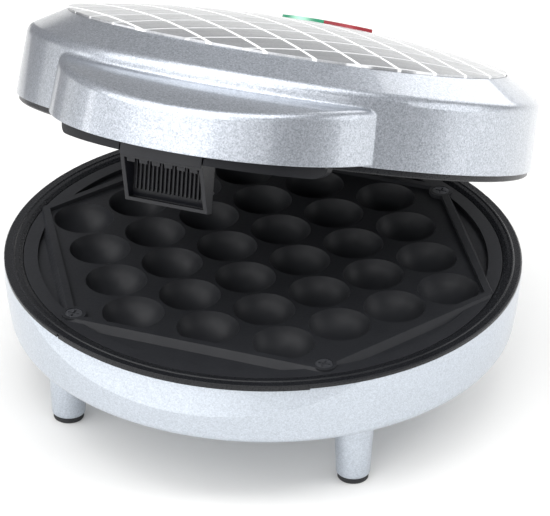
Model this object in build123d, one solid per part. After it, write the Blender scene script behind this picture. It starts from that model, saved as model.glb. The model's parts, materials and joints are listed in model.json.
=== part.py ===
from build123d import *
import math
import os

os.makedirs("parts", exist_ok=True)

# Bubble waffle maker: a round two-plate iron on four legs, with its lid held part open on a rear hinge.
# Millimetres, +Z up, front towards -Y. Every piece is drawn with the base's axis at the origin. What is saved stands
# a little further forward, so that the origin is on the ground under the middle of the whole open part.

# Overall
ring_radius = 112.0             # outer edge of the lower closing ring
casing_wall = 2.2
leg_height = 31.5               # ground to the underside of the lower casing
lid_angle = 23.7                # how far the lid stands open
middle_shift = 6.51             # middle of the whole open part, behind the base's axis

# Cooking plates
plate_radius = ring_radius - 8.4
plate_gap = 0.3                 # radial gap between plate and ring
plate_rim_rise = 0.6            # rim above the cavity field
plate_rim_thickness = 3.0
plate_land_drop = 2.4           # cavity field below the closing plane
bubble_depth = 10.0
plate_block_depth = bubble_depth + 3.0
plate_block_inset = 1.5
rib_reach = plate_radius - 1.6  # middle of the plate to the rib's side corner
rib_front = plate_radius - 21.6     # middle of the plate to the rib's front side
rib_width = 3.0
rib_rise = 1.8
rib_flank = 2.2                 # how far its outer side slopes out
rib_corner = rib_reach - rib_front / math.tan(math.radians(60))
bubble_rows = (3, 4, 5, 6, 5, 4, 3)
bubble_pitch = (rib_reach - 18.0) * 2 / (max(bubble_rows) - 1)      # along a row
bubble_row_pitch = (rib_front - 15.1) * 2 / (len(bubble_rows) - 1)
bubble_land = 1.5               # flat between two neighbouring cavities
bubble_radius = (math.hypot(bubble_pitch / 2, bubble_row_pitch) - bubble_land) / 2
segment_radius = plate_radius - 6.1
segment_drop = 1.4
plate_screw_x = rib_corner + 0.9
plate_screw_y = rib_front - 3.0
plate_boss_radius = 5.2

# Screws
screw_radius = 2.0
screw_head_radius = 3.6
screw_head_height = 1.6
screw_length = 14.0
screw_gap = 0.06
screw_slot_length = 5.2
screw_slot_width = 0.9
post_radius = 4.3
post_gap = 0.6

# Heaters
reflector_radius = rib_front - 6.0
reflector_flange = 5.0
reflector_depth = 9.0
reflector_thickness = 0.6
reflector_cutout = 26.0         # half width of the cut that the heater's ends pass through
reflector_screw_circle = reflector_radius - 2.5
reflector_screw_radius = 1.2
reflector_screw_head_radius = 2.2
reflector_screw_length = 5.0
reflector_screw_angles = (-104, -76, 8, 172)    # between cavities
element_circle_radius = reflector_radius - 16.0
element_radius = 3.25
element_seat_gap = 0.05
element_sink = 1.9              # how deep the heater lies in the plate's groove
element_opening = 17.0          # half of the opening between its ends, in degrees
element_end_radius = rib_front - 1.0    # where the tube's outward ends stop
terminal_pin_radius = 1.5
terminal_pin_reach = element_end_radius + 9.0
thermostat_radius = 8.0
thermostat_height = 8.0
thermostat_tab_length = 3.6
fuse_radius = 2.6
fuse_length = 16.0
fuse_y = 34.0

# Lower casing
floor_clearance = 1.7           # thermostat tabs above the casing's floor
base_rim_height = (leg_height + casing_wall + floor_clearance + thermostat_tab_length + thermostat_height
                   + plate_block_depth)
base_foot_radius = ring_radius - 2.1    # where its wall meets the rounded bottom edge
base_corner_radius = 4.5
closing_height = base_rim_height + plate_land_drop      # plane half way between the two closed plates
vent_count = 5
vent_length = 46.0
vent_width = 3.0
vent_pitch = 9.0

# Scoop under the handle
scoop_shift = 20.0              # how far its centre lies behind the middle of the base
scoop_crest_height = base_rim_height - 16.4     # lowest point of its lower edge
scoop_crest_radius = ring_radius - 0.7
scoop_slope = 0.22              # how much it narrows for each millimetre of height
scoop_wall = 1.8

# Legs
leg_circle_radius = ring_radius - 20.3
leg_top_radius = 8.8
leg_tip_radius = 7.2
pad_height = 2.4
pad_radius = leg_tip_radius - 0.6

# Closing rings
ring_height = 2.2               # visible height of the lower ring
ring_bead_radius = ring_radius - 4.0
ring_bead_rise = 0.4
ring_bead_width = 1.4
ring_step = 1.2
ring_spigot_radius = plate_radius + 2.0
ring_ledge_radius = plate_radius - 2.2
ring_ledge_thickness = 1.6
ring_notch_depth = 0.9          # shallow recess along the front of the lower ring
ring_notch_height = 1.5
ring_notch_half_width = 55.5
ring_skirt_drop = 1.1           # the ring's lip under that recess, in front of the scoop
upper_ring_radius = ring_radius - 2.2
upper_ring_height = 2.8

# Lid, measured closed
lid_rim_radius = ring_radius - 0.7
lid_rim_height = closing_height + 0.5 + upper_ring_height
lid_shoulder_radius = lid_rim_radius - 1.0
lid_shoulder_height = lid_rim_height + 28.7
lid_shoulder_round = 5.0
panel_radius = lid_shoulder_radius - 15.9
panel_gap = 0.3
panel_edge_height = lid_shoulder_height + 10.2
panel_seat_height = panel_edge_height - 2.8
panel_rise = 8.0
panel_thickness = 2.4
panel_seat_width = 6.5
below_panel = panel_seat_height - 20.0      # the heights that tools for the panel start and end at
above_panel = panel_edge_height + 26.0
quilt_pitch = 18.0
quilt_offset = 3.0
quilt_groove_width = 1.5
quilt_groove_depth = 0.7

# Handle, part of the lid casing
handle_front = ring_radius + 28.0
handle_arc_radius = 72.2
handle_crease_height = lid_rim_height + 14.1
handle_mid_radius = handle_front - 13.0
handle_mid_height = handle_crease_height + 5.5
handle_root_height = handle_crease_height + 9.4
handle_base_height = closing_height + 0.6       # underside at the front
handle_base_slope = 0.071
handle_wall = 2.4
handle_edge_round = 3.5         # front edge of its top
handle_root_round = 1.5         # hollow where its top meets the lid's wall
handle_length = 80.0
liner_inset = 4.5
liner_height = closing_height - 3.0     # underside of the black handle liner
liner_reach = 57.0              # middle to either end
liner_corner = 4.5

# Hinge
hinge_y = ring_radius + 11.5
hinge_z = closing_height - 0.2
hinge_pin_radius = 2.5
hinge_pin_gap = 0.04
hinge_ear_radius = 7.2
hinge_knuckle_radius = 6.8
hinge_knuckle_inner = 14.0
hinge_knuckle_outer = 26.4
hinge_side_gap = 0.6
hinge_ear_width = 8.0
hinge_root_near = 12.0          # where the lugs spring from the walls, in front of the axis
hinge_root_far = 22.0
hinge_root_height = 16.0

# Latch, measured with the lid closed and the latch on its stop
latch_x = -3.0
latch_width = 35.0
latch_wall = 1.6
latch_side_gap = 0.6
latch_front_top = (7.6 - handle_front, liner_height)
latch_front_tip = (22.8 - handle_front, liner_height - 20.7)
latch_back_top = (23.5 - handle_front, liner_height - 0.9)
latch_back_tip = (27.8 - handle_front, liner_height - 20.8)
latch_pivot_y = 12.6 - handle_front
latch_pivot_z = liner_height + 3.8
latch_pin_radius = 1.5
latch_pin_gap = 0.04
latch_ear_radius = 3.0
latch_ear_width = 3.0
latch_brow_gap = 0.4            # between the top of its front and the lid casing
latch_ribs = 17
latch_rib_width = 0.7
latch_rib_depth = 2.2
latch_rib_lift = 3.4            # ribs stop this far above the mouth's floor
latch_teeth = 6
latch_tooth_width = 3.4
latch_tooth_drop = 1.6
latch_barb_drop = 11.5          # small barb on each side wall, below the latch's top
latch_barb_reach = 2.0
latch_hook_tip = 0.6 - ring_radius
latch_hook_half = 6.0
latch_pin_overhang = 2.6
spring_wire = 0.35
spring_pitch = 0.8
spring_turns = 5

# Lenses in the top panel
lens_y = panel_radius - 40.4
lens_half_length = 21.0
lens_half_width = 5.5
lens_rise = 1.6
lens_seat = 1.2                 # how deep the lenses sit in the panel
lens_gap = 0.2
lamp_x = 9.0
lamp_radius = 2.6
lamp_foot_height = panel_edge_height - 3.6

# Terminal block and cord gland at the back
terminal_block_y = ring_radius - 29.0
terminal_block_half_length = 17.0
terminal_block_half_width = 7.0
terminal_block_height = 9.0
terminal_pitch = 11.0
gland_height = leg_height + 13.5
gland_radius = 6.0
gland_flange_radius = 8.5
gland_bore_radius = 3.6


def placed(shape, x=0.0, y=0.0, z=0.0):
    return Pos(x, y, z) * shape


def drum(radius, low, high, x=0.0, y=0.0):
    return placed(Cylinder(radius, high - low), x, y, (low + high) / 2)


def hoop(inner, outer, low, high):
    return drum(outer, low, high) - drum(inner, low, high)


def block(low, high):
    size = [b - a for a, b in zip(low, high)]
    middle = [(a + b) / 2 for a, b in zip(low, high)]
    return placed(Box(*size), *middle)


def bar(radius, start, end):
    line = Vector(*end) - Vector(*start)
    return Plane(origin=start, z_dir=line) * extrude(Circle(radius), line.length)


def turned(points):
    return revolve(Plane.XZ * make_face(Polyline(*points, close=True)), Axis.Z)


def turned_edges(edges):
    return revolve(Plane.XZ * make_face(edges), Axis.Z)


def side_prism(outline, left, right):
    return Plane.YZ.offset(left) * extrude(outline, right - left, dir=(0, 0, 1))


def save(shape, name):
    export_step(placed(shape, 0, -middle_shift), "parts/" + name + ".step")


def opened(shape):
    hinge_axis = Axis((0, hinge_y, hinge_z), (-1, 0, 0))
    return shape.rotate(hinge_axis, lid_angle)


def corner_points():
    return [(sx * plate_screw_x, sy * plate_screw_y) for sx in (-1, 1) for sy in (-1, 1)]


# Lower casing: a bowl with a scoop cut out of its front, four legs, four screw posts and two hinge ears


def bowl(inset, scoop_inset):
    top = base_rim_height
    floor = leg_height + inset
    foot = base_foot_radius - inset
    corner = base_corner_radius - inset
    rim = ring_radius - inset
    bulge = (rim + foot) / 2 + 0.5
    wall_start = floor + corner
    profile = [
        Line((0, floor), (foot - corner, floor)),
        RadiusArc((foot - corner, floor), (foot, wall_start), -corner),
        ThreePointArc((foot, wall_start), (bulge, (wall_start + top) / 2), (rim, top)),
        Line((rim, top), (0, top)),
        Line((0, top), (0, floor)),
    ]
    narrowing = scoop_slope * (top - scoop_crest_height)
    widening = scoop_slope * (scoop_crest_height - leg_height)
    crest = scoop_shift + scoop_crest_radius - scoop_inset
    scoop = Cone(crest + widening, crest - narrowing, top - leg_height)
    return turned_edges(profile) & placed(scoop, 0, scoop_shift, (leg_height + top) / 2)


def hinge_lug(radius, root, left, right):
    pivot = Pos(hinge_y, hinge_z) * Circle(radius)
    outline = make_hull([*pivot.edges(), *Polygon(*root, align=None).edges()])
    return side_prism(outline, left, right)


def hinge_bore():
    bore = hinge_pin_radius + hinge_pin_gap
    return bar(bore, (-60, hinge_y, hinge_z), (60, hinge_y, hinge_z))


def base_plate_seat():
    return closing_height - plate_land_drop + plate_rim_rise - plate_rim_thickness


def lid_plate_seat():
    return 2 * closing_height - base_plate_seat()


def leg():
    length = leg_height - pad_height + casing_wall / 2
    taper = Cone(leg_tip_radius, leg_top_radius, length)
    taper = fillet(taper.edges().sort_by(Axis.Z)[0], 1.2)
    return placed(taper, leg_circle_radius, 0, pad_height + length / 2)


def lower_casing():
    inside = bowl(casing_wall, scoop_wall)
    shell = bowl(0.0, 0.0) - inside
    post_top = base_plate_seat()
    for x, y in corner_points():
        shell += drum(post_radius, leg_height + 0.5, post_top, x, y)
    for turn in (45, 135, 225, 315):
        shell += Rot(0, 0, turn) * leg()
    near = hinge_y - hinge_root_near
    far = hinge_y - hinge_root_far
    high = base_rim_height - 1.0
    root = [(far, high - hinge_root_height), (near, high - hinge_root_height), (near, high), (far, high - 14)]
    ear_start = hinge_knuckle_outer + hinge_side_gap
    for side in (-1, 1):
        ends = sorted((side * ear_start, side * (ear_start + hinge_ear_width)))
        shell += hinge_lug(hinge_ear_radius, root, *ends) - inside
    shell -= hinge_bore()
    for x, y in corner_points():
        shell -= drum(screw_radius + screw_gap, post_top - screw_length, post_top + 1, x, y)
    for index in range(vent_count):
        y = (index - (vent_count - 1) / 2) * vent_pitch
        shell -= placed(extrude(SlotOverall(vent_length, vent_width), 12), 0, y, leg_height - 4)
    return shell - gland_bar(gland_radius, -8, 8)


def gland_bar(radius, start, end):
    return bar(radius, (0, ring_radius + start, gland_height), (0, ring_radius + end, gland_height))


def cord_gland():
    flange = gland_bar(gland_flange_radius, -6, 3.0) - bowl(0.0, 0.0)
    nut = gland_bar(gland_flange_radius - 0.5, -6.5, 2.0) & bowl(casing_wall, scoop_wall)
    return flange + nut + gland_bar(gland_radius, -8, 7) - gland_bar(gland_bore_radius, -9, 8)


def foot_pads():
    pads = []
    for turn in (45, 135, 225, 315):
        pad = drum(pad_radius, 0, pad_height)
        pad = fillet(pad.edges().sort_by(Axis.Z)[0], 0.6)
        pads.append(Rot(0, 0, turn) * placed(pad, leg_circle_radius))
    return Compound(pads)


# Closing rings: each carries its plate on an inner ledge


def lower_ring():
    top = base_rim_height + ring_height - ring_bead_rise
    bead = ring_bead_width / 2
    inner = plate_radius + plate_gap
    seat = base_plate_seat()
    ring = turned([
        (inner, seat), (inner, top - ring_step), (ring_bead_radius - bead - 1.6, top - 0.2),
        (ring_bead_radius - bead, top), (ring_bead_radius - bead / 2, top + ring_bead_rise),
        (ring_bead_radius + bead / 2, top + ring_bead_rise), (ring_bead_radius + bead, top),
        (ring_radius - 0.5, top), (ring_radius, top - 0.5), (ring_radius, base_rim_height),
        (ring_spigot_radius, base_rim_height), (ring_spigot_radius, seat - ring_ledge_thickness),
        (ring_ledge_radius, seat - ring_ledge_thickness), (ring_ledge_radius, seat),
    ])
    notch = hoop(ring_radius - ring_notch_depth, ring_radius + 5, base_rim_height - 1,
                 base_rim_height + ring_notch_height)
    reach = block((-ring_notch_half_width, -ring_radius - 5, 0), (ring_notch_half_width, 0, 100))
    low = base_rim_height - ring_skirt_drop
    skirt = hoop(ring_radius - 6.0, ring_radius - ring_notch_depth, low, base_rim_height + 0.5)
    return ring - (notch & reach) + ((skirt & reach) - bowl(-0.02, -0.02))


def upper_ring():
    face = lid_rim_height - upper_ring_height
    seat = lid_plate_seat()
    inner = plate_radius + plate_gap
    spigot = lid_rim_radius - casing_wall - 0.4
    return turned([
        (inner, face + 0.4), (inner + 1.0, face), (upper_ring_radius - 0.5, face),
        (upper_ring_radius, face + 0.5), (upper_ring_radius, lid_rim_height),
        (spigot, lid_rim_height), (spigot, seat + ring_ledge_thickness),
        (ring_ledge_radius, seat + ring_ledge_thickness), (ring_ledge_radius, seat), (inner, seat),
    ])


# Cooking plates: thirty bubble cavities inside a six-sided rib, with six shallow segments outside it.
# Plates and heaters are drawn for the base, with the cavity field at zero height.


def hexagon(grow):
    reach = rib_reach + grow / math.sin(math.radians(60))
    front = rib_front + grow
    corner = reach - front / math.tan(math.radians(60))
    return Polygon((-reach, 0), (-corner, -front), (corner, -front), (reach, 0), (corner, front),
                   (-corner, front), align=None)


def hex_prism(grow, low, high):
    return placed(extrude(hexagon(grow), high - low), 0, 0, low)


def rib_block():
    foot = placed(hexagon(rib_width / 2 + rib_flank), 0, 0, -segment_drop)
    crest = placed(hexagon(rib_width / 2), 0, 0, rib_rise)
    return loft([foot, crest], ruled=True) & drum(plate_radius, -segment_drop, rib_rise)


def bubble_places():
    first = -(len(bubble_rows) - 1) / 2
    places = []
    for row, count in enumerate(bubble_rows):
        for index in range(count):
            places.append(((index - (count - 1) / 2) * bubble_pitch, (first + row) * bubble_row_pitch))
    return places


def cooking_plate():
    under = plate_rim_rise - plate_rim_thickness
    half_rib = rib_width / 2
    plate = drum(plate_radius, under, plate_rim_rise)
    plate += hex_prism(-plate_block_inset, -plate_block_depth, under + 0.1)
    plate -= drum(segment_radius, -segment_drop, plate_rim_rise + 1)
    plate += rib_block()
    plate -= hex_prism(-half_rib, 0, rib_rise + 1)
    for x, y in corner_points():
        plate += drum(plate_boss_radius, under, rib_rise - 0.1, x, y)
    for x, y in corner_points():
        plate -= drum(post_radius + post_gap, -plate_block_depth - 1, under, x, y)
        plate -= drum(screw_radius + screw_gap, under - 1, rib_rise, x, y)
        plate -= drum(screw_head_radius + 0.2, rib_rise - 0.1 - screw_head_height, rib_rise + 1, x, y)
    ball = (bubble_radius ** 2 + bubble_depth ** 2) / (2 * bubble_depth)
    plate -= [placed(Sphere(ball), x, y, ball - bubble_depth) for x, y in bubble_places()]
    back = -plate_block_depth
    for x, y in reflector_screw_places():
        plate -= drum(reflector_screw_radius + screw_gap, back - 1, back + 6, x, y)
    return plate - element_form(element_radius + element_seat_gap)


def plate_screws():
    top = rib_rise - 0.1
    screws = []
    for x, y in corner_points():
        head = drum(screw_head_radius, top - screw_head_height, top - 0.1, x, y)
        head -= placed(Box(screw_slot_length, screw_slot_width, 1.4), x, y, top)
        head -= placed(Box(screw_slot_width, screw_slot_length, 1.4), x, y, top)
        screws.append(head + drum(screw_radius, top - screw_length, top - screw_head_height, x, y))
    return Compound(screws)


# Heaters: a tubular horseshoe pressed into the back of each plate, with a reflector behind it


def element_form(radius):
    level = -plate_block_depth - element_radius + element_sink
    start = 90 + element_opening
    section = Plane.XZ * Pos(element_circle_radius, 0) * Circle(radius)
    tube = Rot(0, 0, start) * revolve(section, Axis.Z, 360 - 2 * element_opening)
    for angle in (90 - element_opening, start):
        way = Vector(math.cos(math.radians(angle)), math.sin(math.radians(angle)), 0)
        tube += Pos(*(way * element_circle_radius)) * Sphere(radius)
        tube += bar(radius, tuple(way * element_circle_radius), tuple(way * element_end_radius))
    return placed(tube, 0, 0, level)


def heating_element():
    level = -plate_block_depth - element_radius + element_sink
    element = element_form(element_radius)
    for angle in (90 - element_opening, 90 + element_opening):
        way = Vector(math.cos(math.radians(angle)), math.sin(math.radians(angle)), 0)
        inner = way * (element_end_radius - 1) + Vector(0, 0, level)
        outer = way * terminal_pin_reach + Vector(0, 0, level)
        element += bar(terminal_pin_radius, tuple(inner), tuple(outer))
    return element


def reflector_screw_places():
    angles = [math.radians(angle) for angle in reflector_screw_angles]
    return [(reflector_screw_circle * math.cos(a), reflector_screw_circle * math.sin(a)) for a in angles]


def reflector_screws():
    seat = -plate_block_depth - reflector_thickness
    screws = []
    for x, y in reflector_screw_places():
        head = drum(reflector_screw_head_radius, seat - 1.2, seat, x, y)
        head -= placed(Box(3.2, 0.7, 1.2), x, y, seat - 1.2)
        screws.append(head + drum(reflector_screw_radius, seat - 0.1, seat + reflector_screw_length, x, y))
    return Compound(screws)


def reflector():
    low = -plate_block_depth - reflector_depth
    high = -plate_block_depth
    skin = reflector_thickness
    inner = reflector_radius - reflector_flange
    floor = inner - 2.5
    centre_hole = thermostat_radius + 1.0
    pan = turned([
        (centre_hole, low), (floor, low), (inner, high - skin), (reflector_radius, high - skin),
        (reflector_radius, high), (inner - 0.5, high), (floor - 0.5, low + skin), (centre_hole, low + skin),
    ])
    half = reflector_cutout
    pan -= block((-half, element_circle_radius - 6, low + 2), (half, reflector_radius + 2, high + 1))
    for x, y in reflector_screw_places():
        pan -= drum(reflector_screw_radius + screw_gap, low, high + 1, x, y)
    return pan


def thermostat():
    high = -plate_block_depth
    low = high - thermostat_height
    body = drum(thermostat_radius, high - 3, high) + drum(thermostat_radius - 1.2, low, high - 2)
    for side in (-1, 1):
        body += block((side * 4 - 0.4, -2.4, low - thermostat_tab_length), (side * 4 + 0.4, 2.4, low + 1))
    return body


def thermal_fuse():
    level = -plate_block_depth - reflector_depth - fuse_radius
    half = fuse_length / 2
    leads = bar(0.6, (-half - 9, fuse_y, level), (half + 9, fuse_y, level))
    return leads + bar(fuse_radius, (-half, fuse_y, level), (half, fuse_y, level))


def terminal_block():
    floor = leg_height + casing_wall
    half = terminal_block_half_length
    near = terminal_block_y - terminal_block_half_width
    far = terminal_block_y + terminal_block_half_width
    body = block((-half, near, floor), (half, far, floor + terminal_block_height))
    body = fillet(body.edges().filter_by(Axis.Z), 2.0)
    for x in (-terminal_pitch, 0, terminal_pitch):
        body -= drum(2.2, floor + 5, floor + terminal_block_height + 1, x, terminal_block_y)
        body -= bar(1.7, (x, near - 5, floor + 4), (x, far + 5, floor + 4))
    return body


# Lid casing with its integral crescent handle, measured closed


def lid_outer():
    edge = panel_edge_height - 1.0
    rim = panel_radius + panel_gap
    face = make_face(Polyline((0, lid_rim_height), (lid_rim_radius, lid_rim_height),
                              (lid_shoulder_radius, lid_shoulder_height), (rim, edge), (0, edge), close=True))
    shoulder = face.vertices().sort_by_distance((lid_shoulder_radius, lid_shoulder_height, 0))[0]
    return revolve(Plane.XZ * fillet(shoulder, lid_shoulder_round), Axis.Z)


def lid_inner():
    wall = casing_wall
    rim = panel_radius + panel_gap
    seat_bottom = panel_seat_height - wall
    shoulder = lid_shoulder_radius - wall
    shoulder_height = lid_shoulder_height - wall * 0.6
    slope = (panel_edge_height - 1.0 - lid_shoulder_height) / (lid_shoulder_radius - rim)
    seat_radius = shoulder - (seat_bottom - shoulder_height) / slope
    opening = panel_radius - panel_seat_width
    return turned([
        (0, lid_rim_height - 1), (lid_rim_radius - wall, lid_rim_height - 1), (shoulder, shoulder_height),
        (seat_radius, seat_bottom), (opening, seat_bottom), (opening, panel_seat_height),
        (rim, panel_seat_height), (rim, above_panel), (0, above_panel),
    ])


def handle_form(inset, base_drop):
    arc = handle_arc_radius - inset
    middle = handle_arc_radius - handle_front
    low = handle_base_height - 8
    high = handle_root_height + 2
    plan = placed(Cone(arc + 0.7, arc - 1.4, high - low), 0, middle, (low + high) / 2)
    root = lid_shoulder_radius - 4
    far = handle_front + 5
    crease = handle_crease_height - inset
    top = handle_root_height - inset
    ledge = [
        Line((0, low), (far, low)),
        Line((far, low), (far, crease - 2.2)),
        Line((far, crease - 2.2), (handle_front, crease)),
        ThreePointArc((handle_front, crease), (handle_mid_radius, handle_mid_height - inset), (root, top)),
        Line((root, top), (0, top)),
        Line((0, top), (0, low)),
    ]
    form = plan & turned_edges(ledge)
    front = -handle_front - 10
    back = front + 10 + handle_length
    base = handle_base_height - handle_base_slope * 10 - base_drop
    back_base = base + handle_base_slope * (back - front)
    outline = Polygon((front, base), (back, back_base), (back, above_panel), (front, above_panel), align=None)
    return form & side_prism(outline, -arc, arc)


def handle_and_lid():
    handle = handle_form(0.0, 0.0)
    arcs = handle.edges().filter_by(GeomType.CIRCLE)
    ends = arcs.filter_by(lambda edge: edge.length < handle_arc_radius / 2)
    handle = fillet(handle.edges().filter_by(GeomType.BSPLINE) + ends, handle_edge_round)
    solid = lid_outer() + (handle - drum(lid_rim_radius, 0, lid_rim_height))
    top_edges = solid.edges().filter_by(GeomType.CIRCLE).filter_by_position(
        Axis.Z, handle_root_height - 2, handle_root_height + 0.5)
    root = top_edges.filter_by(lambda edge: edge.length > handle_arc_radius).sort_by(Axis.Z)[0]
    return fillet(root, handle_root_round)


def lid_casing():
    shell = handle_and_lid() - lid_inner()
    shell -= handle_form(handle_wall, 3.0) - drum(lid_rim_radius - 0.6, 0, above_panel)
    seat = lid_plate_seat()
    posts = Part() + [drum(post_radius, seat, panel_edge_height, x, y) for x, y in corner_points()]
    pocket = drum(panel_radius + panel_gap, panel_seat_height, above_panel)
    shell += (posts & lid_outer()) - pocket
    hollow = drum(lid_rim_radius - casing_wall, 0, above_panel)
    near = hinge_y - hinge_root_near
    low = lid_rim_height + 1.0
    root = [(hinge_y - hinge_root_far, low + 14), (near, low), (near, low + 14)]
    for side in (-1, 1):
        ends = sorted((side * hinge_knuckle_inner, side * hinge_knuckle_outer))
        shell += hinge_lug(hinge_knuckle_radius, root, *ends) - hollow
    shell -= hinge_bore()
    for x, y in corner_points():
        shell -= drum(screw_radius + screw_gap, seat - 1, seat + screw_length, x, y)
    return shell


def hinge_pins():
    pins = []
    for side in (-1, 1):
        far = hinge_knuckle_outer + hinge_side_gap + hinge_ear_width
        near = hinge_knuckle_inner - 1
        pin = bar(hinge_pin_radius, (side * near, hinge_y, hinge_z), (side * far, hinge_y, hinge_z))
        far_end = (side * (far + 1.2), hinge_y, hinge_z)
        pins.append(pin + bar(hinge_pin_radius + 1.2, (side * far, hinge_y, hinge_z), far_end))
    return Compound(pins)


# Domed top panel, grooved in two crossing directions


def under_dome(shift):
    edge = panel_edge_height + shift
    crown = edge + panel_rise
    low = below_panel
    return turned_edges([
        Line((0, low), (panel_radius, low)),
        Line((panel_radius, low), (panel_radius, edge)),
        Bezier((panel_radius, edge), (panel_radius / 2, crown), (0, crown)),
        Line((0, crown), (0, low)),
    ])


def lens_prism(grow):
    half = lens_half_width + grow
    reach = lens_half_length + grow * 2
    bow = (reach ** 2 + half ** 2) / (2 * half)
    eye = (Pos(0, half - bow) * Circle(bow)) & (Pos(0, bow - half) * Circle(bow))
    return placed(extrude(eye, above_panel - below_panel), 0, lens_y, below_panel)


def top_panel():
    opening = panel_radius - panel_seat_width - 0.3
    panel = under_dome(0.0) - drum(panel_radius + 10, below_panel - 1, panel_seat_height)
    panel -= under_dome(-panel_thickness) & drum(opening, below_panel, above_panel)
    slabs = []
    half = quilt_groove_width / 2
    reach = panel_radius + 5
    low = panel_seat_height - 2
    count = math.floor(panel_radius / quilt_pitch)
    for turn in (45, -45):
        for index in range(-count, count + 1):
            across = index * quilt_pitch + quilt_offset
            slab = block((across - half, -reach, low), (across + half, reach, above_panel))
            slabs.append(Rot(0, 0, turn) * slab)
    panel -= (Part() + slabs) - under_dome(-quilt_groove_depth)
    island = lens_prism(2.5) & under_dome(0.0)
    panel += island - under_dome(-quilt_groove_depth - 0.1)
    panel -= lens_prism(lens_gap) - under_dome(-lens_seat)
    for side in (-1, 1):
        panel -= drum(lamp_radius + 0.2, below_panel, above_panel, side * lamp_x, lens_y)
    return panel


def lens(side):
    body = (lens_prism(0.0) & under_dome(lens_rise)) - under_dome(-lens_seat)
    reach = lens_half_length + 1
    ends = sorted((side * 0.05, side * reach))
    return body & block((ends[0], lens_y - reach, below_panel), (ends[1], lens_y + reach, above_panel))


def lamp_holder():
    low = lamp_foot_height - 2
    outer = block((-20, lens_y - 7, low), (20, lens_y + 7, above_panel)) & under_dome(-panel_thickness)
    for side in (-1, 1):
        outer -= drum(lamp_radius + 0.1, lamp_foot_height, above_panel, side * lamp_x, lens_y)
    return outer


def lamps():
    glass = []
    for side in (-1, 1):
        body = drum(lamp_radius, lamp_foot_height, panel_edge_height + 2.8, side * lamp_x, lens_y)
        glass.append(fillet(body.edges().sort_by(Axis.Z)[-1], lamp_radius * 0.8))
    return Compound(glass)


# Black handle liner, which carries the latch on a cross pin


def latch_half():
    return latch_width / 2 + latch_side_gap


def latch_pin(radius):
    reach = latch_half() + latch_pin_overhang
    ends = [(x, latch_pivot_y, latch_pivot_z) for x in (latch_x - reach, latch_x + reach)]
    return bar(radius, *ends)


def handle_liner():
    middle = handle_arc_radius - handle_front
    high = handle_base_height + 3.0
    liner = drum(handle_arc_radius - liner_inset, liner_height, high, 0, middle)
    liner += handle_form(handle_wall, 3.0) & drum(handle_front, high - 2.0, high, 0, middle)
    liner -= drum(ring_radius + 1.0, 0, above_panel)
    outline = Pos(0, liner_height + 10) * RectangleRounded(2 * liner_reach, 20, liner_corner)
    back = handle_front - handle_length
    liner &= Plane.XZ.offset(back) * extrude(outline, handle_length + 5)
    half = latch_half()
    bridge = latch_pivot_y + latch_ear_radius + 3.5
    liner -= block((latch_x - half, -handle_front, 0), (latch_x + half, bridge, above_panel))
    liner -= block((latch_x - half, bridge - 1, 0), (latch_x + half, -back, handle_base_height))
    return liner - latch_pin(latch_pin_radius + latch_pin_gap)


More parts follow.
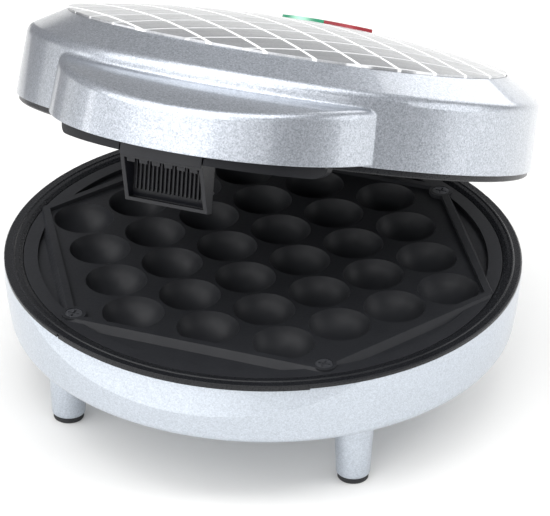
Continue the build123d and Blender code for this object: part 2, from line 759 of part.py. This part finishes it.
def latch():
    half = latch_width / 2
    left = latch_x - half
    right = latch_x + half
    front_y, front_z = latch_front_top
    tip_y, tip_z = latch_front_tip
    back_y, back_z = latch_back_top
    heel_y, heel_z = latch_back_tip
    outline = Polygon(latch_front_top, latch_front_tip, latch_back_tip, latch_back_top, align=None)
    body = side_prism(outline, left, right)
    roof = back_z - latch_wall
    floor = heel_z + latch_wall
    mouth = Polygon((back_y - latch_wall, roof), (heel_y - latch_wall, floor), (tip_y - 9, floor),
                    (front_y - 9, roof), align=None)
    body -= side_prism(mouth, left + latch_wall, right - latch_wall)
    start = heel_y - (heel_y - back_y) * latch_rib_lift / (back_z - heel_z) - latch_wall + 0.2
    rib = Polygon((back_y - latch_wall + 0.2, roof + 0.2), (start, floor + latch_rib_lift),
                  (start - latch_rib_depth, floor + latch_rib_lift),
                  (back_y - latch_wall - latch_rib_depth, roof + 0.2), align=None)
    step = (latch_width - 2 * latch_wall) / (latch_ribs + 1)
    for index in range(latch_ribs):
        x = left + latch_wall + step * (index + 1)
        body += side_prism(rib, x - latch_rib_width / 2, x + latch_rib_width / 2)
    tooth_step = (latch_width - 2 * latch_wall) / latch_teeth
    slant = (tip_y - front_y) / (front_z - tip_z)
    tooth_y = front_y + slant * (front_z - roof) + 0.3
    tooth = Polygon((tooth_y, roof + 0.3), (tooth_y + slant * latch_tooth_drop, roof - latch_tooth_drop),
                    (tooth_y + 2.6, roof - latch_tooth_drop), (tooth_y + 2.2, roof + 0.3), align=None)
    for index in range(latch_teeth):
        x = left + latch_wall + tooth_step * (index + 0.5)
        body += side_prism(tooth, x - latch_tooth_width / 2, x + latch_tooth_width / 2)
    ear = make_hull([*(Pos(latch_pivot_y, latch_pivot_z) * Circle(latch_ear_radius)).edges(),
                     *Polygon((front_y + 2.6, front_z - 2), (back_y - 4, back_z - 1.5), (back_y - 4, back_z - 0.5),
                              (front_y + 2.6, front_z - 0.5), align=None).edges()])
    body += side_prism(ear, left, left + latch_ear_width)
    body += side_prism(ear, right - latch_ear_width, right)
    arc = handle_arc_radius - liner_inset
    middle = handle_arc_radius - handle_front
    brow = drum(arc, front_z - 1.2, handle_base_height - latch_brow_gap, 0, middle)
    brow -= drum(arc - latch_wall, front_z + 0.2, handle_base_height, 0, middle)
    body += brow & block((left, -handle_front, 0), (right, back_y - 4, above_panel))
    hook = Polygon((back_y + 0.4, back_z - 5.5), (latch_hook_tip, base_rim_height + 0.3),
                   (latch_hook_tip, base_rim_height + 1.0), (back_y - 1, back_z), align=None)
    body += side_prism(hook, latch_x - latch_hook_half, latch_x + latch_hook_half)
    barb_z = back_z - latch_barb_drop
    edge = back_y + (heel_y - back_y) * latch_barb_drop / (back_z - heel_z)
    barb = Polygon((edge - 0.6, barb_z - 1.2), (edge + latch_barb_reach, barb_z), (edge - 0.6, barb_z + 1.0),
                   align=None)
    body += side_prism(barb, left, left + latch_wall)
    body += side_prism(barb, right - latch_wall, right)
    return body - latch_pin(latch_pin_radius + latch_pin_gap)


def latch_spring():
    coil_radius = latch_pin_radius + spring_wire
    height = spring_turns * spring_pitch
    path = Helix(spring_pitch, height, coil_radius)
    wire = sweep(Plane(origin=path @ 0, z_dir=path % 0) * Circle(spring_wire), path=path, is_frenet=True)
    return Pos(latch_x + 3, latch_pivot_y, latch_pivot_z) * (Rot(0, 90, 0) * wire)


def on_base(shape):
    return placed(shape, 0, 0, closing_height - plate_land_drop)


def on_lid(shape):
    return opened(mirror(on_base(shape), Plane.XY.offset(closing_height)))


save(lower_casing(), "lower_casing")
save(foot_pads(), "foot_pads")
save(cord_gland(), "cord_gland")
save(terminal_block(), "terminal_block")
save(lower_ring(), "lower_ring")
save(hinge_pins(), "hinge_pins")
save(on_base(cooking_plate()), "lower_plate")
save(on_base(plate_screws()), "lower_plate_screws")
save(on_base(heating_element()), "lower_heater")
save(on_base(reflector()), "lower_reflector")
save(on_base(reflector_screws()), "lower_reflector_screws")
save(on_base(thermostat()), "lower_thermostat")

save(opened(lid_casing()), "lid_casing")
save(opened(top_panel()), "top_panel")
save(opened(upper_ring()), "upper_ring")
save(on_lid(cooking_plate()), "upper_plate")
save(on_lid(plate_screws()), "upper_plate_screws")
save(on_lid(heating_element()), "upper_heater")
save(on_lid(reflector()), "upper_reflector")
save(on_lid(reflector_screws()), "upper_reflector_screws")
save(on_lid(thermostat()), "upper_thermostat")
save(on_lid(thermal_fuse()), "thermal_fuse")
save(opened(lens(-1)), "ready_lens")
save(opened(lens(1)), "power_lens")
save(opened(lamp_holder()), "lamp_holder")
save(opened(lamps()), "lamps")
save(opened(handle_liner()), "handle_liner")
save(opened(latch_pin(latch_pin_radius)), "latch_pin")
save(opened(latch_spring()), "latch_spring")
save(opened(latch()), "latch")
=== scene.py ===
import json
import math

import bpy
from mathutils import Matrix, Vector

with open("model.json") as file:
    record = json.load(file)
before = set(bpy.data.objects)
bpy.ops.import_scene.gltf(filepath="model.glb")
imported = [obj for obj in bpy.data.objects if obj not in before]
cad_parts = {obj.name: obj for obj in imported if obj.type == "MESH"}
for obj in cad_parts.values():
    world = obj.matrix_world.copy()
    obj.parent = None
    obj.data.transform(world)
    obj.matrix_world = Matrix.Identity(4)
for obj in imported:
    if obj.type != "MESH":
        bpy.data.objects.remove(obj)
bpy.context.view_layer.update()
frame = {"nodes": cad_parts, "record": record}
nodes = frame["nodes"]
lidJoint = next(joint for joint in frame["record"]["behaviour"]["joints"] if joint["name"] == "lid_hinge")
lidAngle = math.radians(-lidJoint["range_deg"][0])      # how far the lid is held open
print("frame loaded")


def linear(hexColour):
    parts = [int(hexColour[i:i + 2], 16) / 255 for i in (1, 3, 5)]
    return [c / 12.92 if c <= 0.04045 else ((c + 0.055) / 1.055) ** 2.4 for c in parts] + [1.0]


def addNode(tree, kind, settings=None, links=None):
    # a name that the node has itself is its own setting, and any other name or number is one of its sockets
    node = tree.nodes.new(kind)
    for name, value in (settings or {}).items():
        if isinstance(name, str) and hasattr(node, name):
            setattr(node, name, value)
        else:
            node.inputs[name].default_value = value
    for socket, source in (links or {}).items():
        tree.links.new(source, node.inputs[socket])
    return node


mixFrom, mixTo, mixed = 6, 7, 2     # the Mix node's colour sockets, which share their names with others


def newMaterial(name, shader):
    material = bpy.data.materials.new(name)
    material.use_nodes = True
    tree = material.node_tree
    tree.nodes.clear()
    principled = addNode(tree, "ShaderNodeBsdfPrincipled", shader)
    output = addNode(tree, "ShaderNodeOutputMaterial")
    tree.links.new(principled.outputs["BSDF"], output.inputs["Surface"])
    return material, tree, principled


# silver lacquer, sprayed with metal flakes over moulded casings and then cleared


def flakePaint(name, settings):
    # single flakes glint under the clear coat; real ones are too fine to show, so they are drawn 0.45 mm wide
    flakeShare = 0.75       # a flake's own shade, beside that of its clump
    darkest, lightest = 0.35, 1.4
    tiltDepth = 0.0003
    material, tree, principled = newMaterial(name, settings["shader"])
    points = addNode(tree, "ShaderNodeTexCoord").outputs["Object"]
    flakes = addNode(tree, "ShaderNodeTexVoronoi", {"Scale": 1 / settings["flakeSize"]}, {"Vector": points})
    clumps = addNode(tree, "ShaderNodeTexNoise", {"Scale": 1 / settings["clumpSize"], "Detail": 2.0},
                     {"Vector": points})
    parts = addNode(tree, "ShaderNodeSeparateColor", {}, {"Color": flakes.outputs["Color"]})
    speckle = addNode(tree, "ShaderNodeMath", {"operation": "MULTIPLY_ADD", 1: flakeShare},
                      {0: parts.outputs["Red"], 2: clumps.outputs["Fac"]})
    spread = addNode(tree, "ShaderNodeMapRange", {"From Min": darkest, "From Max": lightest},
                     {"Value": speckle.outputs[0]})
    shades = {"data_type": "RGBA", mixFrom: linear(settings["dark"]), mixTo: linear(settings["light"])}
    colour = addNode(tree, "ShaderNodeMix", shades, {0: spread.outputs["Result"]}).outputs[mixed]
    # the panel gets painted highlights along its grooves and painted shade across its pads
    if "grooves" in settings:
        colour, metal = paintGrooveHighlightsAndPadShade(tree, points, colour, settings)
        tree.links.new(metal, principled.inputs["Metallic"])
    tree.links.new(colour, principled.inputs["Base Color"])
    edges = addNode(tree, "ShaderNodeBevel", {"samples": 4, "Radius": settings["edgeRadius"]})
    tilt = addNode(tree, "ShaderNodeBump", {"Strength": settings["tilt"], "Distance": tiltDepth},
                   {"Height": parts.outputs["Green"], "Normal": edges.outputs["Normal"]})
    tree.links.new(tilt.outputs["Normal"], principled.inputs["Normal"])
    return material


def paintGrooveHighlightsAndPadShade(tree, points, colour, settings):
    # paints shade across each pad, darker towards one side, then lays painted highlight lines over it, which
    # aren't metallic
    grooves = settings["grooves"]
    paintedHighlight, paintedFaintHighlight, padShadeRamp = grooveLines(tree, points, grooves)
    # painted shade across each pad, growing from one side of the pad to the other
    paintedPadShade = addNode(tree, "ShaderNodeMath", {"operation": "MULTIPLY", 1: grooves["paintedPadShade"]}, {0: padShadeRamp})
    for factor, shade in ((paintedPadShade.outputs[0], "shade"), (paintedFaintHighlight, "paintedFaintHighlight"), (paintedHighlight, "paintedHighlight")):
        colour = addNode(tree, "ShaderNodeMix", {"data_type": "RGBA", mixTo: linear(grooves[shade])},
                         {0: factor, mixFrom: colour}).outputs[mixed]
    either = addNode(tree, "ShaderNodeMath", {"operation": "MAXIMUM"}, {0: paintedHighlight, 1: paintedFaintHighlight})
    metal = addNode(tree, "ShaderNodeMapRange", {"To Min": settings["shader"]["Metallic"], "To Max": 0.0},
                    {"Value": either.outputs[0]})
    return colour, metal.outputs["Result"]


def grooveLines(tree, points, settings):
    # the panel's crossing grooves in the closed lid's own directions: 1 inside a groove and 0 on the pads,
    # for each way, where the highlights are painted, then how far across its pad a point lies, which the
    # painted shade follows
    lineEdge, lineEnd = 0.5, 0.66       # shares of the width, where a line starts to fade and where it ends
    hinge = Vector(lidJoint["pos_m"])
    flat = addNode(tree, "ShaderNodeVectorRotate",
                   {"rotation_type": "X_AXIS", "Center": hinge, "Angle": lidAngle}, {"Vector": points})
    place = addNode(tree, "ShaderNodeSeparateXYZ", {}, {"Vector": flat.outputs["Vector"]})
    diagonal = math.sqrt(0.5)
    lines = []
    for way in (1, -1):
        along = addNode(tree, "ShaderNodeMath", {"operation": "MULTIPLY", 1: diagonal},
                        {0: place.outputs["X"]})
        across = addNode(tree, "ShaderNodeMath", {"operation": "MULTIPLY_ADD", 1: way * diagonal},
                         {0: place.outputs["Y"], 2: along.outputs[0]})
        start = settings["offset"] - settings["pitch"] / 2 + way * diagonal * settings["axis"]
        shifted = addNode(tree, "ShaderNodeMath", {"operation": "SUBTRACT", 1: start}, {0: across.outputs[0]})
        wrapped = addNode(tree, "ShaderNodeMath", {"operation": "WRAP", 1: settings["pitch"], 2: 0.0},
                          {0: shifted.outputs[0]})
        gap = addNode(tree, "ShaderNodeMath", {"operation": "SUBTRACT", 1: settings["pitch"] / 2},
                      {0: wrapped.outputs[0]})
        distance = addNode(tree, "ShaderNodeMath", {"operation": "ABSOLUTE"}, {0: gap.outputs[0]})
        line = addNode(tree, "ShaderNodeMapRange",
                       {"From Min": settings["width"] * lineEdge, "From Max": settings["width"] * lineEnd,
                        "To Min": 1.0, "To Max": 0.0}, {"Value": distance.outputs[0]})
        lines.append(line.outputs["Result"])
    padShadeRamp = addNode(tree, "ShaderNodeMath", {"operation": "DIVIDE", 1: settings["pitch"]},
                    {0: wrapped.outputs[0]})
    return lines + [padShadeRamp.outputs[0]]


lidPaint = {    # deep silver: the flakes stand out, and the thick clear coat mirrors the lights
    "dark": "#959BA4", "light": "#CCD1D9", "flakeSize": 0.00045, "clumpSize": 0.0008, "tilt": 0.2,
    "edgeRadius": 0.0006,
    "shader": {"Metallic": 0.9, "Roughness": 0.32, "Coat Weight": 0.7, "Coat Roughness": 0.06},
}
basePaint = {   # pale silver, almost white in the light: softer and with less of a mirror
    "dark": "#AFB6BF", "light": "#CAD1DA", "flakeSize": 0.00045, "clumpSize": 0.0008, "tilt": 0.15,
    "edgeRadius": 0.0005,
    "shader": {"Metallic": 0.75, "Roughness": 0.36, "Coat Weight": 0.5, "Coat Roughness": 0.1},
}
panelPaint = {  # plain grey silver with painted highlights along the grooves, white one way and paler the other, and painted shade across each pad
    "dark": "#B4B6B9", "light": "#CED0D3", "flakeSize": 0.00045, "clumpSize": 0.0008, "tilt": 0.1,
    "edgeRadius": 0.0003,
    "shader": {"Metallic": 0.85, "Roughness": 0.3, "Coat Weight": 0.6, "Coat Roughness": 0.08},
    # metres between grooves, from the panel's middle to the first one, across one, and that middle's own Y,
    # then the colours of the painted highlight lines and of the painted shade across each pad, with its
    # strength
    "grooves": {"pitch": 0.018, "offset": 0.003, "width": 0.0015, "axis": -0.00651, "paintedHighlight": "#FFFFFF",
                "paintedFaintHighlight": "#D8D9DA", "paintedPadShade": 0.25, "shade": "#85878B"},
}
silverLid = flakePaint("flakedSilverLacquer", lidPaint)
silverBase = flakePaint("paleSilverLacquer", basePaint)
silverPanel = flakePaint("panelSilverLacquer", panelPaint)
print("paints made")


# mouldings, coatings, metals and ceramics


def grainedMaterial(name, settings):
    # slow patches of a second shade, a fine surface grain, and uneven gloss
    grainLow, grainHigh = 0.3, 0.7      # most of the grain's noise lies between these
    grainDepth = 0.0001
    material, tree, principled = newMaterial(name, settings["shader"])
    points = addNode(tree, "ShaderNodeTexCoord").outputs["Object"]
    stretched = addNode(tree, "ShaderNodeMapping", {"Scale": settings.get("stretch", (1, 1, 1))},
                        {"Vector": points})
    patches = addNode(tree, "ShaderNodeTexNoise", {"Scale": 1 / settings["patchSize"], "Detail": 3.0},
                      {"Vector": stretched.outputs["Vector"]})
    grain = addNode(tree, "ShaderNodeTexNoise", {"Scale": 1 / settings["grainSize"], "Detail": 2.0},
                    {"Vector": stretched.outputs["Vector"]})
    shades = {"data_type": "RGBA", mixFrom: linear(settings["colour"]), mixTo: linear(settings["shade"])}
    colour = addNode(tree, "ShaderNodeMix", shades, {0: patches.outputs["Fac"]})
    tree.links.new(colour.outputs[mixed], principled.inputs["Base Color"])
    smoothest, roughest = settings["roughness"]
    gloss = addNode(tree, "ShaderNodeMapRange",
                    {"From Min": grainLow, "From Max": grainHigh, "To Min": smoothest, "To Max": roughest},
                    {"Value": grain.outputs["Fac"]})
    tree.links.new(gloss.outputs["Result"], principled.inputs["Roughness"])
    bump = addNode(tree, "ShaderNodeBump", {"Strength": settings["grainStrength"], "Distance": grainDepth},
                   {"Height": grain.outputs["Fac"]})
    if "edgeRadius" in settings:
        edges = addNode(tree, "ShaderNodeBevel", {"samples": 4, "Radius": settings["edgeRadius"]})
        tree.links.new(edges.outputs["Normal"], bump.inputs["Normal"])
    tree.links.new(bump.outputs["Normal"], principled.inputs["Normal"])
    return material


blackRing = grainedMaterial("glossBlackMoulding", {     # closing rings: smooth, soft sheen on their beads
    "colour": "#17181B", "shade": "#202124", "patchSize": 0.02, "grainSize": 0.0007, "grainStrength": 0.12,
    "edgeRadius": 0.0004, "roughness": (0.24, 0.34), "shader": {"IOR": 1.5, "Specular IOR Level": 0.3}})
blackMoulding = grainedMaterial("satinBlackMoulding", {     # liner and gland: fine spark grain, little shine
    "colour": "#15161A", "shade": "#1E1F23", "patchSize": 0.015, "grainSize": 0.0006, "grainStrength": 0.2,
    "roughness": (0.4, 0.55), "shader": {"IOR": 1.5, "Specular IOR Level": 0.22}})
latchMoulding = grainedMaterial("latchMoulding", {      # latch: glossier, so that thin edges catch light
    "colour": "#0A0B10", "shade": "#10121A", "patchSize": 0.012, "grainSize": 0.0006, "grainStrength": 0.15,
    "edgeRadius": 0.0005, "roughness": (0.3, 0.42), "shader": {"IOR": 1.5, "Specular IOR Level": 0.4}})
nonStick = grainedMaterial("nonStickCoating", {     # sprayed coating on cast aluminium: slight orange peel
    "colour": "#222326", "shade": "#2C2D30", "patchSize": 0.012, "grainSize": 0.0012, "grainStrength": 0.25,
    "roughness": (0.38, 0.5), "shader": {"IOR": 1.45, "Specular IOR Level": 0.25}})
darkSteel = grainedMaterial("blackenedSteel", {     # screws: oiled black, paler on worn spots
    "colour": "#3A3B3F", "shade": "#66686D", "patchSize": 0.0015, "grainSize": 0.0004, "grainStrength": 0.2,
    "roughness": (0.35, 0.55), "shader": {"Metallic": 0.6}})
turnedSteel = grainedMaterial("turnedSteel", {      # pins and spring: turned bar, faint rings across it
    "colour": "#A9ABAF", "shade": "#C4C6C9", "patchSize": 0.004, "grainSize": 0.0008, "grainStrength": 0.15,
    "stretch": (4, 1, 1), "roughness": (0.2, 0.34), "shader": {"Metallic": 1.0}})
heaterSheath = grainedMaterial("heaterSheath", {    # alloy tube, dull grey-brown from heat
    "colour": "#5E5650", "shade": "#7C7268", "patchSize": 0.01, "grainSize": 0.0007, "grainStrength": 0.2,
    "roughness": (0.4, 0.55), "shader": {"Metallic": 1.0}})
rolledSheet = grainedMaterial("rolledAluminium", {  # reflector pans: rolling lines run along X
    "colour": "#C9CBCE", "shade": "#DEE0E2", "patchSize": 0.006, "grainSize": 0.0008, "grainStrength": 0.15,
    "stretch": (0.1, 1, 1), "roughness": (0.16, 0.28), "shader": {"Metallic": 1.0}})
glazedCeramic = grainedMaterial("glazedCeramic", {  # thermostats, terminals: off-white, faintly mottled
    "colour": "#DDD9CE", "shade": "#EBE8E0", "patchSize": 0.003, "grainSize": 0.0008, "grainStrength": 0.1,
    "roughness": (0.2, 0.35), "shader": {"IOR": 1.5}})
mattRubber = grainedMaterial("mattRubber", {    # moulded feet: dusty black with no shine
    "colour": "#1B1C1E", "shade": "#2C2D2F", "patchSize": 0.003, "grainSize": 0.0005, "grainStrength": 0.3,
    "roughness": (0.75, 0.9), "shader": {"IOR": 1.52}})
lampGlass = grainedMaterial("lampGlass", {      # blown bulbs under the lenses: clear, with a sharp shine
    "colour": "#F4EEE6", "shade": "#FBF8F2", "patchSize": 0.002, "grainSize": 0.001, "grainStrength": 0.02,
    "roughness": (0.03, 0.06), "shader": {"IOR": 1.5, "Transmission Weight": 0.9}})


def litLens(name, settings):
    # moulded acrylic over a lamp: paler and brighter over the lamp, deep at the rim
    cloudScale = 300.0      # clouds of about 3 mm in the rim's colour
    material, tree, principled = newMaterial(name, settings["shader"])
    middle = sum((Vector(corner) for corner in nodes[settings["node"]].bound_box), Vector()) / 8
    points = addNode(tree, "ShaderNodeTexCoord").outputs["Object"]
    distance = addNode(tree, "ShaderNodeVectorMath", {"operation": "DISTANCE", 1: middle}, {0: points})
    nearness = addNode(tree, "ShaderNodeMapRange",
                       {"interpolation_type": "SMOOTHSTEP", "From Max": settings["lampReach"], "To Min": 1.0,
                        "To Max": 0.0}, {"Value": distance.outputs["Value"]})
    cloud = addNode(tree, "ShaderNodeTexNoise", {"Scale": cloudScale}, {"Vector": points})
    shades = {"data_type": "RGBA", mixFrom: linear(settings["rim"]), mixTo: linear(settings["rimShade"])}
    rim = addNode(tree, "ShaderNodeMix", shades, {0: cloud.outputs["Fac"]})
    colour = addNode(tree, "ShaderNodeMix", {"data_type": "RGBA", mixTo: linear(settings["middle"])},
                     {0: nearness.outputs["Result"], mixFrom: rim.outputs[mixed]})
    tree.links.new(colour.outputs[mixed], principled.inputs["Base Color"])
    tree.links.new(colour.outputs[mixed], principled.inputs["Emission Color"])
    glow = addNode(tree, "ShaderNodeMath", {"operation": "MULTIPLY", 1: settings["glow"]},
                   {0: nearness.outputs["Result"]})
    tree.links.new(glow.outputs[0], principled.inputs["Emission Strength"])
    return material


greenLens = litLens("litGreenAcrylic", {
    "node": "ready_lens", "rim": "#1C7A58", "rimShade": "#2A8F6A", "middle": "#C9F2DF", "lampReach": 0.009,
    "glow": 0.8, "shader": {"IOR": 1.49, "Roughness": 0.12}})
redLens = litLens("dimRedAcrylic", {
    "node": "power_lens", "rim": "#7E1B24", "rimShade": "#94252F", "middle": "#B8434C", "lampReach": 0.007,
    "glow": 0.1, "shader": {"IOR": 1.49, "Roughness": 0.12}})
print("materials made")

finishes = {
    silverLid: ("lid_casing",),
    silverBase: ("lower_casing",),
    silverPanel: ("top_panel",),
    blackRing: ("upper_ring", "lower_ring"),
    blackMoulding: ("handle_liner", "cord_gland", "lamp_holder"),
    latchMoulding: ("latch",),
    nonStick: ("lower_plate", "upper_plate"),
    darkSteel: ("lower_plate_screws", "upper_plate_screws",
                "lower_reflector_screws", "upper_reflector_screws"),
    turnedSteel: ("hinge_pins", "latch_pin", "latch_spring", "thermal_fuse"),
    heaterSheath: ("lower_heater", "upper_heater"),
    rolledSheet: ("lower_reflector", "upper_reflector"),
    glazedCeramic: ("lower_thermostat", "upper_thermostat", "terminal_block"),
    mattRubber: ("foot_pads",),
    greenLens: ("ready_lens",),
    redLens: ("power_lens",),
    lampGlass: ("lamps",),
}
for material, names in finishes.items():
    for name in names:
        mesh = nodes[name].data
        mesh.materials.clear()
        mesh.materials.append(material)
print("finishes set")

usualCrease = 28        # degrees between two faces from which their shared edge stays sharp
creaseAngles = {"lower_casing": 13}     # the scoop's edge is a shallow crease, and stays crisp
for name, piece in nodes.items():
    piece.data.shade_smooth()
    piece.data.set_sharp_from_angle(angle=math.radians(creaseAngles.get(name, usualCrease)))
print("edges set")


def addSheet(name, corners, material):
    mesh = bpy.data.meshes.new(name)
    mesh.from_pydata(corners, [], [(0, 1, 2, 3)])
    mesh.materials.append(material)
    sheet = bpy.data.objects.new(name, mesh)
    bpy.context.scene.collection.objects.link(sheet)
    return sheet


tableSettings = {       # matt white board, whose slight glow keeps the surround white
    "half": 4.0, "colour": "#DDDDDC", "shade": "#D8D8D7", "patchSize": 0.5, "grainSize": 0.05,
    "grainStrength": 0.0, "roughness": (0.6, 0.7),
    "shader": {"IOR": 1.3, "Emission Color": linear("#FFFDF9"), "Emission Strength": 0.1},
}
half = tableSettings["half"]
tableCorners = [(-half, -half, 0), (half, -half, 0), (half, half, 0), (-half, half, 0)]
table = addSheet("table", tableCorners, grainedMaterial("whiteTable", tableSettings))

flagSettings = {        # grey felt card that stands at the left and draws the shaded flank on the silver
    "left": -0.42, "near": 0.05, "far": 0.5, "height": 0.3, "colour": "#77777A", "shade": "#858588",
    "patchSize": 0.1, "grainSize": 0.01, "grainStrength": 0.0, "roughness": (0.8, 0.9),
    "shader": {"IOR": 1.4},
}
left, near, far, height = (flagSettings[key] for key in ("left", "near", "far", "height"))
flagCorners = [(left, near, 0), (left, far, 0), (left, far, height), (left, near, height)]
flag = addSheet("darkFlag", flagCorners, grainedMaterial("feltCard", flagSettings))
flag.visible_camera = False     # the silver mirrors it, and no view is blocked by it
print("stage set")

# grey studio walls
wallSettings = {"colour": "#B6B6B7", "shade": "#C4C4C6", "patchScale": 1.2, "strength": 0.72}
world = bpy.data.worlds.new("greyStudio")
bpy.context.scene.world = world
world.use_nodes = True
tree = world.node_tree
tree.nodes.clear()
way = addNode(tree, "ShaderNodeTexCoord").outputs["Generated"]
patches = addNode(tree, "ShaderNodeTexNoise", {"Scale": wallSettings["patchScale"]}, {"Vector": way})
shades = {"data_type": "RGBA", mixFrom: linear(wallSettings["colour"]), mixTo: linear(wallSettings["shade"])}
walls = addNode(tree, "ShaderNodeMix", shades, {0: patches.outputs["Fac"]})
background = addNode(tree, "ShaderNodeBackground", {"Strength": wallSettings["strength"]},
                     {"Color": walls.outputs[mixed]})
output = addNode(tree, "ShaderNodeOutputWorld")
tree.links.new(background.outputs["Background"], output.inputs["Surface"])


def direction(settings):
    # azimuth 0 is in front of the object and 90 on its right, both angles in degrees
    azimuth, elevation = math.radians(settings["azimuth"]), math.radians(settings["elevation"])
    return Vector((math.sin(azimuth) * math.cos(elevation), -math.cos(azimuth) * math.cos(elevation),
                   math.sin(elevation)))


def addSoftbox(name, settings):
    # the glow is what the box's face shines with, and a box that isn't mirrored only lights
    away = direction(settings)
    light = bpy.data.lights.new(name, "AREA")
    light.shape = "RECTANGLE"
    light.size, light.size_y = settings["size"]
    light.energy = settings["glow"] * math.pi * light.size * light.size_y
    softbox = bpy.data.objects.new(name, light)
    bpy.context.scene.collection.objects.link(softbox)
    aim = away.to_track_quat("Z", "Y").to_matrix().to_4x4()
    softbox.matrix_world = Matrix.Translation(away * settings["distance"]) @ aim
    softbox.visible_glossy = settings.get("mirrored", True)


softboxes = {       # distances and sizes in metres
    "frontBox": {"azimuth": -32, "elevation": 46, "distance": 2.0, "size": (3.4, 1.9), "glow": 2.2},
    "lowFrontBox": {"azimuth": -38, "elevation": 5, "distance": 2.0, "size": (3.9, 0.34), "glow": 3.0},
    "overheadBox": {"azimuth": 0, "elevation": 89, "distance": 1.8, "size": (1.8, 1.6), "glow": 2.4},
    "rightRearBox": {"azimuth": 112, "elevation": 18, "distance": 1.6, "size": (1.0, 1.0), "glow": 1.65},
    "frontRightBox": {"azimuth": 34, "elevation": 32, "distance": 2.0, "size": (1.1, 1.0), "glow": 1.1},
    "rearBox": {"azimuth": 168, "elevation": 21, "distance": 1.8, "size": (0.8, 1.1), "glow": 1.9},
    "shadowBox": {"azimuth": 92, "elevation": 50, "distance": 1.9, "size": (0.7, 0.7), "glow": 7.5,
                  "mirrored": False},       # only shapes the shadow on the table
}
for name, settings in softboxes.items():
    addSoftbox(name, settings)
print("lights set")

photoCamera = {"azimuth": 19.55, "elevation": 29.96, "roll": 0.91, "distance": 1.5, "focalPixels": 3479.92,
               "imageWidth": 550, "target": (0.00757, -0.01244, 0.06221)}


def placeCamera(settings):
    azimuth, roll = math.radians(settings["azimuth"]), math.radians(settings["roll"])
    back = direction(settings)
    level = Vector((math.cos(azimuth), math.sin(azimuth), 0))
    upright = back.cross(level)
    right = level * math.cos(roll) + upright * math.sin(roll)
    up = upright * math.cos(roll) - level * math.sin(roll)
    data = bpy.data.cameras.new("photoCamera")
    data.lens = settings["focalPixels"] / settings["imageWidth"] * data.sensor_width
    camera = bpy.data.objects.new("photoCamera", data)
    bpy.context.scene.collection.objects.link(camera)
    turn = Matrix((right, up, back)).transposed().to_4x4()
    camera.matrix_world = Matrix.Translation(Vector(settings["target"]) + back * settings["distance"]) @ turn
    bpy.context.scene.camera = camera


placeCamera(photoCamera)
bpy.context.scene.view_settings.view_transform = "Standard"     # keeps the white surround white
print("camera set")
